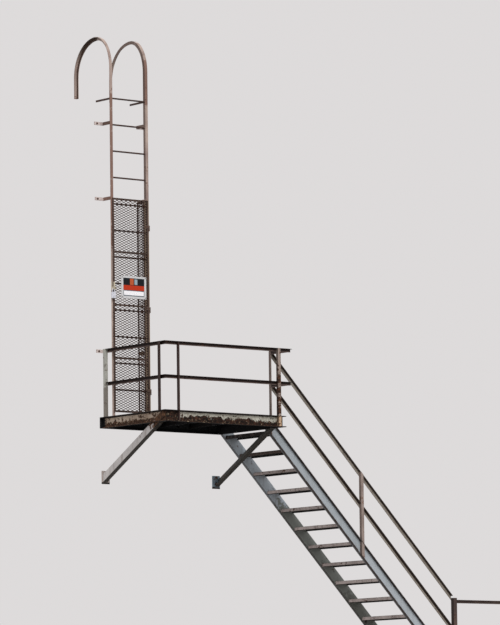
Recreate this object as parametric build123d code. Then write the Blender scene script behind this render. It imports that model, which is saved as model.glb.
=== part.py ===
from build123d import *
import math
import os

# Wall-hung steel fire escape: a small platform, one straight flight down to the ground,
# a guarded ladder up to the roof, and angle-iron railings. Millimetres, +Z up.
# The wall is the plane Y = 0 and the steelwork stands on its -Y side. The origin is the
# middle of the wall ledger's back face. +X runs along the wall, down the flight.

# Platform frame: rolled channel, the three free sides with their flanges turned outwards
PLATFORM_LENGTH = 1743.0
PLATFORM_DEPTH = 1226.0
CHANNEL_DEPTH = 127.0
CHANNEL_FLANGE = 44.5
CHANNEL_WEB = 5.0
CHANNEL_FLANGE_THICK = 8.0
CORNER_COPE = 25.0
END_PLATE_THICK = 8.0
DECK_PLATE_THICK = 8.0
BEARER_LEG = 64.0
BEARER_THICK = 6.0
BEARER_COUNT = 3
LEDGER_BOLT_RADIUS = 9.0
LEDGER_OUTER_BOLT_SPACING = 1400.0
LEDGER_INNER_BOLT_SPACING = 500.0

# Railing: light angle iron, heights above the deck
ANGLE_LEG = 38.0
ANGLE_THICK = 5.0
TOP_RAIL_HEIGHT = 776.0
MID_RAIL_HEIGHT = 394.0
WALL_POST_SETBACK = 72.0
SIDE_POST_SETBACK = 93.0
FRONT_LEFT_POST_PLACE = 201.0
FRONT_RIGHT_POST_SETBACK = 108.0
RETURN_OVERHANG = 65.0
HEAD_POST_THICK = 8.0

# Knee braces: unequal angle with the long leg upright
BRACE_LONG_LEG = 76.0
BRACE_SHORT_LEG = 64.0
BRACE_THICK = 6.0
BRACE_PITCH = 29.8
BRACE_FOOT_DROP = 740.0
BRACE_PLATE_WIDTH = 110.0
BRACE_PLATE_HEIGHT = 150.0
BRACE_PLATE_LAP = 15.0
BRACE_PLATE_DROP = 20.0
BRACE_PLATE_THICK = 8.0
BRACE_BOLT_RADIUS = 8.0
BRACE_BOLT_SPACING = 73.0
BRACE_BOLT_RISE = 36.0

# Flight: channel stringers and bent-plate treads
RISE = 207.3
RUN = 203.2
TREAD_COUNT = 13
FIRST_STEP_DOWN = 139.0
FIRST_TREAD_GAP = 43.0
TREAD_DEPTH = 178.0
TREAD_HEIGHT = 44.0
TREAD_THICK = 5.0
TREAD_BEND_RADIUS = 4.0
TREAD_BELOW_STRINGER = 12.0
WALL_CLEARANCE = 5.0
STAIR_WIDTH = 783.0
STAIR_RAIL_RISE = 810.0
STAIR_MID_RAIL_DROP = 370.0
STAIR_POST_RUN = 1393.0
NEWEL_RUN = 2785.0
NEWEL_SIZE = 50.0
NEWEL_WALL = 5.0
NEWEL_ABOVE_RAIL = 22.0
LOWER_RAIL_HEIGHT = 804.0
LOWER_RAIL_DROP = 382.0
LOWER_BAY = 1370.0
BASE_PLATE_SIZE = 130.0
BASE_PLATE_THICK = 10.0

# Roof ladder: angle rails bent over into goosenecks, heights above the deck
LADDER_WIDTH = 470.0
LADDER_PLACE = 86.0
LADDER_STAND_OFF = 182.0
RUNG_RADIUS = 9.5
RUNG_SPACING = 304.8
FIRST_RUNG_HEIGHT = 310.0
RUNG_COUNT = 12
GOOSENECK_FRONT_REACH = 277.0
GOOSENECK_BACK_REACH = 410.0
GOOSENECK_FRONT_RISE = 395.0
GOOSENECK_BACK_RISE = 430.0
GOOSENECK_TOP = 4408.0
GOOSENECK_FOOT = 3740.0
BRACKET_HEIGHTS = (757.0, 2512.0, 3384.0)
BRACKET_BAR = 38.0
BRACKET_THICK = 8.0
BRACKET_FOOT = 124.0
ROOF_STRAP_BAR = 22.0
ROOF_STRAP_REACH = 120.0

# Ladder guard: a mesh door hinged on the right rail, and a fixed mesh side screen
DOOR_LAP = 20.0
DOOR_BOTTOM = 50.0
DOOR_TOP = 2510.0
DOOR_BAR_WIDTH = 22.0
DOOR_BAR_THICK = 6.0
DOOR_CLEARANCE = 6.0
DOOR_CROSS_BAR_COUNT = 3
MESH_THICK = 1.5
MESH_STRAND = 12.0
MESH_COLUMN_COUNT = 8
MESH_ROW_COUNT = 40
SCREEN_COLUMN_COUNT = 2
SCREEN_WALL_GAP = 5.0
SCREEN_BAR_THICK = 5.0
HINGE_HEIGHTS = (300.0, 1245.0, 2190.0)
HINGE_RADIUS = 10.0
HINGE_KNUCKLE = 32.0
HINGE_PIN_RADIUS = 5.0
HINGE_PIN_CLEARANCE = 0.08
HINGE_GAP = 0.3
HINGE_SETBACK = 11.0
HINGE_LEAF_WIDTH = 40.0
HINGE_LEAF_THICK = 4.0
HASP_HEIGHT = 1466.0
HASP_PLATE_DROP = 15.0
HASP_PLATE_RISE = 75.0
HASP_THICK = 4.0
HASP_EYE_REACH = 36.0
HASP_EYE_HEIGHT = 30.0
HASP_HOLE_RADIUS = 7.0
KEEPER_CLEARANCE = 5.0
KEEPER_WIDTH = 12.0
LOCK_WIDTH = 50.0
LOCK_HEIGHT = 72.0
LOCK_DEPTH = 22.0
LOCK_EDGE_RADIUS = 3.0
SHACKLE_RADIUS = 3.5
SHACKLE_BEND_RADIUS = 13.0
SHACKLE_RISE = 42.0
SHACKLE_PLAY = 0.3
NOTICE_WIDTH = 356.0
NOTICE_HEIGHT = 254.0
NOTICE_THICK = 1.5
NOTICE_CENTRE_HEIGHT = 1492.0
NOTICE_OFFSET = 36.0

# Directions, and the faces and levels that follow from the sizes above
RIGHT = (1, 0, 0)
LEFT = (-1, 0, 0)
OUTWARD = (0, -1, 0)
WALLWARD = (0, 1, 0)
UP = (0, 0, 1)
DOWN = (0, 0, -1)
left_tip = -PLATFORM_LENGTH / 2
right_tip = PLATFORM_LENGTH / 2
front_tip = -PLATFORM_DEPTH
left_back = left_tip + CHANNEL_FLANGE
right_back = right_tip - CHANNEL_FLANGE
front_back = front_tip + CHANNEL_FLANGE
left_web = left_back - CHANNEL_WEB
right_web = right_back + CHANNEL_WEB
front_web = front_back - CHANNEL_WEB
deck_z = CHANNEL_DEPTH / 2
frame_bottom = -CHANNEL_DEPTH / 2
top_rail_z = deck_z + TOP_RAIL_HEIGHT
mid_rail_z = deck_z + MID_RAIL_HEIGHT
return_heel = right_tip + RETURN_OVERHANG


def box_between(low, high):
    """Return a box from its lowest corner to its highest corner."""
    size = [b - a for a, b in zip(low, high)]
    centre = [(a + b) / 2 for a, b in zip(low, high)]
    return Pos(*centre) * Box(*size)


def angle_section(across, upright, thick):
    """Return an angle with its heel at the origin and its legs along +x and -y."""
    corners = [
        (0, 0),
        (across, 0),
        (across, -thick),
        (thick, -thick),
        (thick, -upright),
        (0, -upright),
    ]
    return make_face(Polyline(*corners, close=True))


def channel_section():
    """Return the channel with its web's back on x = 0 and its flanges towards +x."""
    half = CHANNEL_DEPTH / 2
    inside = half - CHANNEL_FLANGE_THICK
    corners = [
        (0, -half),
        (CHANNEL_FLANGE, -half),
        (CHANNEL_FLANGE, -inside),
        (CHANNEL_WEB, -inside),
        (CHANNEL_WEB, inside),
        (CHANNEL_FLANGE, inside),
        (CHANNEL_FLANGE, half),
        (0, half),
    ]
    return make_face(Polyline(*corners, close=True))


def section_bar(section, start, end, out, up):
    """Run a section from start to end, its x axis along out and its y axis along up."""
    normal = Vector(*out).cross(Vector(*up))
    plane = Plane(origin=start, x_dir=out, z_dir=normal)
    travel = Vector(*end) - Vector(*start)
    return extrude(plane * section, amount=travel.dot(normal))


def keep_side(solid, point, normal):
    """Cut a solid by a plane and keep the side that the normal points to."""
    return split(solid, bisect_by=Plane(origin=point, z_dir=normal), keep=Keep.TOP)


channel = channel_section()
rail_angle = angle_section(ANGLE_LEG, ANGLE_LEG, ANGLE_THICK)
left_corner = (left_back, front_back, 0)
parts = {}

# Flight geometry: every level along the flight is measured up from the stringers' low edge
slope = RISE / RUN
pitch_length = math.hypot(RISE, RUN)
square_up = (RISE / pitch_length, 0, RUN / pitch_length)
plumb_share = pitch_length / RUN
stringer_rise = CHANNEL_DEPTH * plumb_share
inner_web = -(WALL_CLEARANCE + CHANNEL_FLANGE)
outer_web = inner_web - STAIR_WIDTH
outer_face = outer_web - CHANNEL_WEB
first_tread_back = right_tip + FIRST_TREAD_GAP
first_tread_top = deck_z - FIRST_STEP_DOWN
ground_z = first_tread_top - TREAD_COUNT * RISE
newel_x = right_tip + NEWEL_RUN
stair_post_x = right_tip + STAIR_POST_RUN
stair_rail_level = stringer_rise + STAIR_RAIL_RISE
lower_rail_z = ground_z + LOWER_RAIL_HEIGHT


def on_flight(x, y, level):
    """Return the point at x and y on the line that is level above the low edge."""
    low_edge = first_tread_top - TREAD_HEIGHT + TREAD_BELOW_STRINGER
    return (x, y, low_edge + level - slope * (x - first_tread_back))


# Railing posts stand in the channels' hollows: one leg edge-on to the web, one facing out
def front_post(x, web_y, low_z, high_z, face_gap=ANGLE_LEG - ANGLE_THICK):
    """Return an angle post with its left leg square to web_y and its face face_gap off it."""
    leg = box_between((x, web_y - ANGLE_LEG, low_z), (x + ANGLE_THICK, web_y, high_z))
    face_y = web_y - face_gap
    face = box_between((x, face_y - ANGLE_THICK, low_z), (x + ANGLE_LEG, face_y, high_z))
    return leg + face


def side_post(leg_y, face_side, low_z):
    """Return a left-side post: one leg meets the web, the other faces left."""
    face_x = left_web - ANGLE_LEG
    reach = face_side * (ANGLE_LEG - ANGLE_THICK)
    low_y = min(leg_y, leg_y + reach)
    high_y = max(leg_y, leg_y + reach) + ANGLE_THICK
    leg = box_between((face_x, leg_y, low_z), (left_web, leg_y + ANGLE_THICK, top_rail_z))
    face = box_between((face_x, low_y, low_z), (face_x + ANGLE_THICK, high_y, top_rail_z))
    return leg + face


flange_top = frame_bottom + CHANNEL_FLANGE_THICK
wall_post_y = -(WALL_POST_SETBACK + ANGLE_LEG)
side_post_y = front_tip + SIDE_POST_SETBACK + ANGLE_LEG - ANGLE_THICK
wall_post = side_post(wall_post_y, 1, deck_z)
corner_post = side_post(side_post_y, -1, deck_z)
parts["side_posts"] = Compound(children=[wall_post, corner_post])
front_left_x = left_tip + FRONT_LEFT_POST_PLACE
front_right_x = right_tip - FRONT_RIGHT_POST_SETBACK
front_left = front_post(front_left_x, front_web, flange_top, top_rail_z, 0)
front_right = front_post(front_right_x, front_web, flange_top, top_rail_z)
parts["front_posts"] = Compound(children=[front_left, front_right])

# The stair-head post is a flat bar on the outer stringer's web; the stair post is an angle
flange_level = CHANNEL_FLANGE_THICK * plumb_share
head_post = box_between(
    (return_heel, outer_face - ANGLE_LEG, ground_z),
    (return_heel + HEAD_POST_THICK, outer_face, top_rail_z),
)
foot_plane = on_flight(return_heel, outer_face, flange_level)
head_post = keep_side(head_post, foot_plane, square_up)
parts["stair_head_post"] = head_post
stair_post = front_post(stair_post_x, outer_face, ground_z, top_rail_z)
stair_post = keep_side(stair_post, foot_plane, square_up)
rail_plane = on_flight(stair_post_x, outer_face, stair_rail_level)
downhill_under = tuple(-value for value in square_up)
stair_post = keep_side(stair_post, rail_plane, downhill_under)
parts["stair_middle_post"] = stair_post


# Knee braces, a mirrored pair: the long leg lies on a side channel's web and passes
# through a slot in the bottom flange, and the short leg points inwards and stops below
def knee_brace(heel_x):
    """Return the left brace, its long leg upright at heel_x and its short leg to the right."""
    section = angle_section(BRACE_SHORT_LEG, BRACE_LONG_LEG, BRACE_THICK)
    tilt = math.radians(BRACE_PITCH)
    foot_z = deck_z - BRACE_FOOT_DROP
    start = (heel_x, BRACE_LONG_LEG, foot_z - BRACE_LONG_LEG * math.tan(tilt))
    end = (heel_x, front_back, foot_z - front_back * math.tan(tilt))
    along_up = (0, -math.sin(tilt), -math.cos(tilt))
    brace = section_bar(section, start, end, RIGHT, along_up)
    brace = keep_side(brace, (0, -BRACE_PLATE_THICK, 0), OUTWARD)
    brace = keep_side(brace, (0, front_back, 0), WALLWARD)
    brace = keep_side(brace, (0, 0, deck_z - CHANNEL_FLANGE_THICK), DOWN)
    cope_low = (heel_x + BRACE_THICK, front_tip, frame_bottom)
    return brace - box_between(cope_low, (heel_x + 2 * BRACE_SHORT_LEG, 0, deck_z))


def brace_wall_plate(heel_x):
    """Return the plate that bolts the left brace's foot to the wall."""
    foot_z = deck_z - BRACE_FOOT_DROP
    low = (heel_x - BRACE_PLATE_LAP, -BRACE_PLATE_THICK, foot_z - BRACE_PLATE_DROP)
    centre_x = low[0] + BRACE_PLATE_WIDTH / 2
    high = (low[0] + BRACE_PLATE_WIDTH, 0, low[2] + BRACE_PLATE_HEIGHT)
    plate = box_between(low, high)
    for hole_z in (foot_z + BRACE_BOLT_RISE, foot_z + BRACE_BOLT_RISE + BRACE_BOLT_SPACING):
        hole = Cylinder(BRACE_BOLT_RADIUS, 3 * BRACE_PLATE_THICK)
        plate -= Pos(centre_x, 0, hole_z) * Rot(90, 0, 0) * hole
    return plate


brace_heel = left_web - BRACE_THICK
left_brace = knee_brace(brace_heel)
right_brace = mirror(left_brace, about=Plane.YZ)
parts["knee_braces"] = Compound(children=[left_brace, right_brace])
left_foot = brace_wall_plate(brace_heel)
parts["brace_wall_plates"] = Compound(children=[left_foot, mirror(left_foot, about=Plane.YZ)])


# Frame channels: mitred at the left corner, butted at the right one, notched for the braces
left_channel = section_bar(channel, (left_back, 0, 0), (left_back, front_tip, 0), LEFT, UP)
left_channel = keep_side(left_channel, left_corner, (-1, 1, 0))
parts["left_channel"] = left_channel - left_brace

right_end = (right_back, front_back, 0)
right_channel = section_bar(channel, (right_back, 0, 0), right_end, RIGHT, UP)
parts["right_channel"] = right_channel - right_brace

front_start = (left_tip, front_back, 0)
front_end = (right_tip, front_back, 0)
front_channel = section_bar(channel, front_start, front_end, OUTWARD, UP)
front_channel = keep_side(front_channel, left_corner, (1, -1, 0))
cope_low = (right_tip - CORNER_COPE, front_web, frame_bottom + CHANNEL_FLANGE_THICK)
front_channel -= box_between(cope_low, (right_tip, front_back, deck_z - CHANNEL_FLANGE_THICK))
parts["front_channel"] = front_channel - front_left - front_right

# The ledger lies back to the wall between the side channels, drilled for its wall bolts,
# and a plate closes the hollow of each side channel against the wall
ledger = section_bar(channel, (left_back, 0, 0), (right_back, 0, 0), OUTWARD, UP)
for spacing in (LEDGER_OUTER_BOLT_SPACING, LEDGER_INNER_BOLT_SPACING):
    for side in (-1, 1):
        hole = Cylinder(LEDGER_BOLT_RADIUS, 4 * CHANNEL_WEB)
        ledger -= Pos(side * spacing / 2, 0, 0) * Rot(90, 0, 0) * hole
plate_low_z = frame_bottom + CHANNEL_FLANGE_THICK
plate_high_z = deck_z - CHANNEL_FLANGE_THICK
left_plate = box_between((left_tip, -END_PLATE_THICK, plate_low_z), (left_web, 0, plate_high_z))
right_plate = box_between((right_web, -END_PLATE_THICK, plate_low_z), (right_tip, 0, plate_high_z))
parts["wall_ledger"] = Compound(children=[ledger, left_plate, right_plate])

# Deck plate between the webs, on angle bearers that run from the ledger to the front
ledger_tip = -CHANNEL_FLANGE
deck_under = deck_z - DECK_PLATE_THICK
deck_low = (left_back, front_back, deck_under)
parts["deck_plate"] = box_between(deck_low, (right_back, ledger_tip, deck_z))
bearer_angle = angle_section(BEARER_LEG, BEARER_LEG, BEARER_THICK)
bearer_pitch = (right_back - left_back) / (BEARER_COUNT + 1)
bearers = []
for index in range(BEARER_COUNT):
    bearer_x = left_back + (index + 1) * bearer_pitch
    start = (bearer_x, front_back, deck_under)
    end = (bearer_x, -CHANNEL_WEB, deck_under)
    bearers.append(section_bar(bearer_angle, start, end, RIGHT, UP) - ledger)
parts["deck_bearers"] = Compound(children=bearers)


# Rails: angle with one leg out over the posts, slotted round each post
def rail_pair(start, end, out, cuts, notches):
    """Return the top and mid rails along one side, cut to length and notched."""
    pair = []
    for height in (top_rail_z, mid_rail_z):
        rail = section_bar(rail_angle, (*start, height), (*end, height), out, UP)
        for point, normal in cuts:
            rail = keep_side(rail, point, normal)
        for post in notches:
            rail -= post
        pair.append(rail)
    return Compound(children=pair)


return_tip = return_heel + ANGLE_LEG
head_post_edge = outer_face - ANGLE_LEG
parts["left_rails"] = rail_pair(
    (left_back, -WALL_POST_SETBACK),
    (left_back, front_tip),
    LEFT,
    [(left_corner, (-1, 1, 0))],
    [wall_post, corner_post],
)
parts["front_rails"] = rail_pair(
    (left_tip, front_back),
    (return_tip, front_back),
    OUTWARD,
    [(left_corner, (1, -1, 0))],
    [front_left, front_right],
)
parts["return_rails"] = rail_pair(
    (return_heel, front_back),
    (return_heel, head_post_edge),
    RIGHT,
    [],
    [],
)


# Stringers: the same channel, plumb against the platform and level at deck and ground
def stringer(web_y, out):
    """Return a stringer whose web's back lies on web_y, with its flanges turned out."""
    half = stringer_rise / 2
    start = on_flight(right_tip - PLATFORM_DEPTH, web_y, half)
    end = on_flight(newel_x + PLATFORM_DEPTH, web_y, half)
    bar = section_bar(channel, start, end, out, square_up)
    for point, normal in (
        ((right_tip, 0, 0), RIGHT),
        ((0, 0, deck_z), DOWN),
        ((newel_x, 0, 0), LEFT),
        ((0, 0, ground_z), UP),
    ):
        bar = keep_side(bar, point, normal)
    return bar


outer_stringer = stringer(outer_web, OUTWARD)
parts["outer_stringer"] = outer_stringer - head_post - stair_post
parts["inner_stringer"] = stringer(inner_web, WALLWARD)


# Treads: plate bent down at front and back, welded between the stringers
def tread_section():
    """Return a tread's section, back edge at x = 0 and top at y = 0."""
    outer_radius = TREAD_BEND_RADIUS + TREAD_THICK
    outer = Pos(TREAD_DEPTH / 2, -TREAD_HEIGHT / 2) * Rectangle(TREAD_DEPTH, TREAD_HEIGHT)
    outer = fillet(outer.vertices().group_by(Axis.Y)[-1], outer_radius)
    inner_depth = TREAD_DEPTH - 2 * TREAD_THICK
    inner = Pos(TREAD_DEPTH / 2, -TREAD_THICK - TREAD_HEIGHT / 2) * Rectangle(inner_depth, TREAD_HEIGHT)
    inner = fillet(inner.vertices().group_by(Axis.Y)[-1], TREAD_BEND_RADIUS)
    return outer - inner


tread_profile = tread_section()
for index in range(TREAD_COUNT):
    tread_x = first_tread_back + index * RUN
    tread_z = first_tread_top - index * RISE
    start = (tread_x, outer_web, tread_z)
    end = (tread_x, inner_web, tread_z)
    parts[f"tread_{index + 1:02d}"] = section_bar(tread_profile, start, end, RIGHT, UP)


# Stair handrails: the rail angle run down the flight from the head post to the newel
def stair_rail(level):
    """Return a sloping rail whose top runs at level above the stringers' low edge."""
    start = on_flight(right_tip, outer_web, level)
    end = on_flight(newel_x + NEWEL_SIZE + TREAD_DEPTH, outer_web, level)
    rail = section_bar(rail_angle, start, end, OUTWARD, square_up)
    rail = keep_side(rail, (return_heel + HEAD_POST_THICK, 0, 0), RIGHT)
    rail = keep_side(rail, (newel_x, 0, 0), LEFT)
    return rail - stair_post


stair_top_rail = stair_rail(stair_rail_level)
stair_mid_rail = stair_rail(stair_rail_level - STAIR_MID_RAIL_DROP)
parts["stair_handrails"] = Compound(children=[stair_top_rail, stair_mid_rail])


# Newel and end post: square tube on a base plate, with one bay of rail between them
def tube_post(x, top_z):
    """Return a square tube post with its left face at x, its cap and its base plate."""
    low_y = outer_face - NEWEL_SIZE
    tube = box_between((x, low_y, ground_z), (x + NEWEL_SIZE, outer_face, top_z))
    plate_low = (x, (low_y + outer_face - BASE_PLATE_SIZE) / 2, ground_z)
    plate_high = (x + BASE_PLATE_SIZE, plate_low[1] + BASE_PLATE_SIZE, ground_z + BASE_PLATE_THICK)
    bore_low = (x + NEWEL_WALL, low_y + NEWEL_WALL, ground_z)
    bore_high = (x + NEWEL_SIZE - NEWEL_WALL, outer_face - NEWEL_WALL, top_z - NEWEL_WALL)
    return tube + box_between(plate_low, plate_high) - box_between(bore_low, bore_high)


end_post_x = newel_x + LOWER_BAY
tube_top = lower_rail_z + NEWEL_ABOVE_RAIL
parts["lower_posts"] = Compound(children=[tube_post(x, tube_top) for x in (newel_x, end_post_x)])
lower_rails = []
for height in (lower_rail_z, lower_rail_z - LOWER_RAIL_DROP):
    start = (newel_x + NEWEL_SIZE, outer_face, height)
    lower_rails.append(section_bar(rail_angle, start, (end_post_x, outer_face, height), OUTWARD, UP))
parts["lower_rails"] = Compound(children=lower_rails)

# Ladder rails: angle, flange to the front, rolled over the top with the flange outside
left_inside = left_tip + LADDER_PLACE
right_inside = left_inside + LADDER_WIDTH
ladder_middle = (left_inside + right_inside) / 2
ladder_front = -LADDER_STAND_OFF
crown_y = ladder_front + GOOSENECK_FRONT_REACH
crown_z = deck_z + GOOSENECK_TOP
gooseneck_back = crown_y + GOOSENECK_BACK_REACH
middle_plane = Plane(origin=(ladder_middle, 0, 0), z_dir=RIGHT)


def quarter_bend(reach, rise, start_angle):
    """Return a quarter of an ellipse below the crown, in the left rail's own plane."""
    middle = Plane(origin=(left_inside, crown_y, crown_z - rise), x_dir=WALLWARD, z_dir=RIGHT)
    return middle * EllipticalCenterArc((0, 0), reach, rise, start_angle, arc_size=90)


def ladder_rail():
    """Return the left ladder rail, swept up from the deck and over the roof's edge."""
    front_bend = quarter_bend(GOOSENECK_FRONT_REACH, GOOSENECK_FRONT_RISE, 90)
    back_bend = quarter_bend(GOOSENECK_BACK_REACH, GOOSENECK_BACK_RISE, 0)
    front_spring = (left_inside, ladder_front, crown_z - GOOSENECK_FRONT_RISE)
    back_spring = (left_inside, gooseneck_back, crown_z - GOOSENECK_BACK_RISE)
    path = Line((left_inside, ladder_front, deck_z), front_spring) + front_bend + back_bend
    path += Line(back_spring, (left_inside, gooseneck_back, deck_z + GOOSENECK_FOOT))
    foot = Plane(origin=(left_inside, ladder_front, deck_z), x_dir=LEFT, z_dir=UP)
    return sweep(foot * rail_angle, path=path)


left_rail = ladder_rail()
parts["left_ladder_rail"] = left_rail
parts["right_ladder_rail"] = mirror(left_rail, about=middle_plane)

rung_y = ladder_front + ANGLE_LEG / 2
rungs = []
for index in range(RUNG_COUNT):
    rung_z = deck_z + FIRST_RUNG_HEIGHT + index * RUNG_SPACING
    rung = Rot(0, 90, 0) * Cylinder(RUNG_RADIUS, LADDER_WIDTH)
    rungs.append(Pos(ladder_middle, rung_y, rung_z) * rung)
parts["ladder_rungs"] = Compound(children=rungs)


# Wall brackets and roof straps: flat bars on the outside of each rail's side leg
def wall_bracket(height):
    """Return the left bracket at a height: an arm back to the wall and a turned foot."""
    arm_x = left_inside - ANGLE_THICK
    low_z = deck_z + height - BRACKET_BAR / 2
    high_z = low_z + BRACKET_BAR
    arm_low = (arm_x - BRACKET_THICK, ladder_front + ANGLE_THICK, low_z)
    arm = box_between(arm_low, (arm_x, 0, high_z))
    return arm + box_between((arm_x - BRACKET_FOOT, -BRACKET_THICK, low_z), (arm_x, 0, high_z))


left_brackets = [wall_bracket(height) for height in BRACKET_HEIGHTS]
right_brackets = [mirror(bracket, about=middle_plane) for bracket in left_brackets]
parts["ladder_wall_brackets"] = Compound(children=left_brackets + right_brackets)

strap_z = deck_z + FIRST_RUNG_HEIGHT + (RUNG_COUNT - 1) * RUNG_SPACING
strap_right = left_inside - ANGLE_THICK
strap_low = (strap_right - BRACKET_THICK, ladder_front + ANGLE_THICK, strap_z - ROOF_STRAP_BAR / 2)
strap_high = (strap_right, ROOF_STRAP_REACH, strap_z + ROOF_STRAP_BAR / 2)
left_strap = box_between(strap_low, strap_high)
parts["roof_straps"] = Compound(children=[left_strap, mirror(left_strap, about=middle_plane)])

# Guard door: a flat-bar frame with the mesh on its front, clear of the ladder's flanges
door_left = left_inside - DOOR_LAP
door_right = right_inside + DOOR_LAP
door_low = deck_z + DOOR_BOTTOM
door_high = deck_z + DOOR_TOP
door_back = ladder_front - DOOR_CLEARANCE
door_face = door_back - DOOR_BAR_THICK
mesh_face = door_face - MESH_THICK
door_frame = box_between((door_left, door_face, door_low), (door_right, door_back, door_high))
bay_pitch = (DOOR_TOP - DOOR_BOTTOM - DOOR_BAR_WIDTH) / (DOOR_CROSS_BAR_COUNT + 1)
for index in range(DOOR_CROSS_BAR_COUNT + 1):
    bay_low = door_low + DOOR_BAR_WIDTH + index * bay_pitch
    bay_high = bay_low + bay_pitch - DOOR_BAR_WIDTH
    opening_low = (door_left + DOOR_BAR_WIDTH, door_face, bay_low)
    door_frame -= box_between(opening_low, (door_right - DOOR_BAR_WIDTH, door_back, bay_high))
parts["guard_door_frame"] = door_frame


def mesh_sheet(low, high, across, wide_way):
    """Return a sheet between two corners, cut into a plain grid along wide_way and up."""
    sheet = box_between(low, high)
    wide_pitch = (high[wide_way] - low[wide_way] - MESH_STRAND) / across
    high_pitch = (high[2] - low[2] - MESH_STRAND) / MESH_ROW_COUNT
    size = [MESH_STRAND, MESH_STRAND, high_pitch - MESH_STRAND]
    size[wide_way] = wide_pitch - MESH_STRAND
    centre = [(a + b) / 2 for a, b in zip(low, high)]
    openings = []
    for column in range(across):
        centre[wide_way] = low[wide_way] + MESH_STRAND / 2 + (column + 0.5) * wide_pitch
        for row in range(MESH_ROW_COUNT):
            centre[2] = low[2] + MESH_STRAND / 2 + (row + 0.5) * high_pitch
            openings.append(Pos(*centre) * Box(*size))
    return sheet - openings


door_mesh_low = (door_left, mesh_face, door_low)
door_mesh_high = (door_right, door_face, door_high)
parts["guard_door_mesh"] = mesh_sheet(door_mesh_low, door_mesh_high, MESH_COLUMN_COUNT, 0)

# Side screen: fixed behind the right rail's side leg, from its edge back towards the wall
screen_front = ladder_front + ANGLE_LEG
screen_back = -SCREEN_WALL_GAP
screen_out = right_inside + SCREEN_BAR_THICK
screen_frame = box_between((right_inside, screen_front, door_low), (screen_out, screen_back, door_high))
opening_low = (right_inside, screen_front + DOOR_BAR_WIDTH, door_low + DOOR_BAR_WIDTH)
opening_high = (screen_out, screen_back - DOOR_BAR_WIDTH, door_high - DOOR_BAR_WIDTH)
parts["side_screen_frame"] = screen_frame - box_between(opening_low, opening_high)
screen_mesh_low = (right_inside - MESH_THICK, screen_front, door_low)
screen_mesh_high = (right_inside, screen_back, door_high)
parts["side_screen_mesh"] = mesh_sheet(screen_mesh_low, screen_mesh_high, SCREEN_COLUMN_COUNT, 1)

# Hinges: pin and lower knuckle welded to the rail, upper knuckle and leaf on the door
hinge_x = door_right + HINGE_SETBACK
hinge_y = ladder_front - HINGE_RADIUS - HINGE_GAP
fixed_hinges = []
door_hinges = []
for height in HINGE_HEIGHTS:
    hinge_z = deck_z + height
    knuckle = Pos(hinge_x, hinge_y, hinge_z - HINGE_KNUCKLE / 2) * Cylinder(HINGE_RADIUS, HINGE_KNUCKLE)
    pin_middle = hinge_z + HINGE_KNUCKLE / 2
    pin = Pos(hinge_x, hinge_y, pin_middle) * Cylinder(HINGE_PIN_RADIUS, HINGE_KNUCKLE)
    leaf_low = (hinge_x, hinge_y, hinge_z - HINGE_KNUCKLE)
    leaf = box_between(leaf_low, (right_inside + ANGLE_LEG, ladder_front, hinge_z))
    fixed_hinges.append(knuckle + pin + leaf)
    upper_low = hinge_z + HINGE_GAP
    upper_middle = upper_low + HINGE_KNUCKLE / 2
    upper = Pos(hinge_x, hinge_y, upper_middle) * Cylinder(HINGE_RADIUS, HINGE_KNUCKLE)
    door_leaf_low = (door_right - HINGE_LEAF_WIDTH, mesh_face - HINGE_LEAF_THICK, upper_low)
    upper += box_between(door_leaf_low, (hinge_x, mesh_face, upper_low + HINGE_KNUCKLE))
    bore = Cylinder(HINGE_PIN_RADIUS + HINGE_PIN_CLEARANCE, 2 * HINGE_KNUCKLE)
    door_hinges.append(upper - Pos(hinge_x, hinge_y, upper_middle) * bore)
parts["hinge_pins"] = Compound(children=fixed_hinges)
parts["door_hinge_leaves"] = Compound(children=door_hinges)

# Keeper eye on the left rail with the padlock hanging in it, and the door's hasp eye beside
keeper_x = left_inside - ANGLE_LEG + HASP_THICK
shackle_side = SHACKLE_BEND_RADIUS + SHACKLE_RADIUS
eye_x = keeper_x + HASP_THICK / 2 + shackle_side + KEEPER_CLEARANCE
eye_z = deck_z + HASP_HEIGHT
eye_out = mesh_face - HASP_EYE_REACH
hole_y = eye_out + HASP_EYE_HEIGHT / 2
plate_bottom = eye_z - HASP_PLATE_DROP
plate_top = eye_z + HASP_PLATE_RISE


def drilled_eye(x, root_y):
    """Return a plate square to the door, from root_y out to the eye, with its hole."""
    low = (x - HASP_THICK / 2, eye_out, eye_z - HASP_EYE_HEIGHT / 2)
    plate = box_between(low, (x + HASP_THICK / 2, root_y, eye_z + HASP_EYE_HEIGHT / 2))
    hole = Rot(0, 90, 0) * Cylinder(HASP_HOLE_RADIUS, 3 * HASP_THICK)
    return plate - Pos(x, hole_y, eye_z) * hole


hasp_plate_low = (door_left, mesh_face - HASP_THICK, plate_bottom)
hasp_plate = box_between(hasp_plate_low, (door_left + DOOR_BAR_WIDTH, mesh_face, plate_top))
parts["hasp"] = hasp_plate + drilled_eye(eye_x, mesh_face)
rail_edge = left_inside - ANGLE_LEG
keeper_plate_low = (rail_edge, ladder_front - HASP_THICK, plate_bottom)
keeper_plate = box_between(keeper_plate_low, (rail_edge + KEEPER_WIDTH, ladder_front, plate_top))
parts["keeper"] = keeper_plate + drilled_eye(keeper_x, ladder_front)

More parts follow.
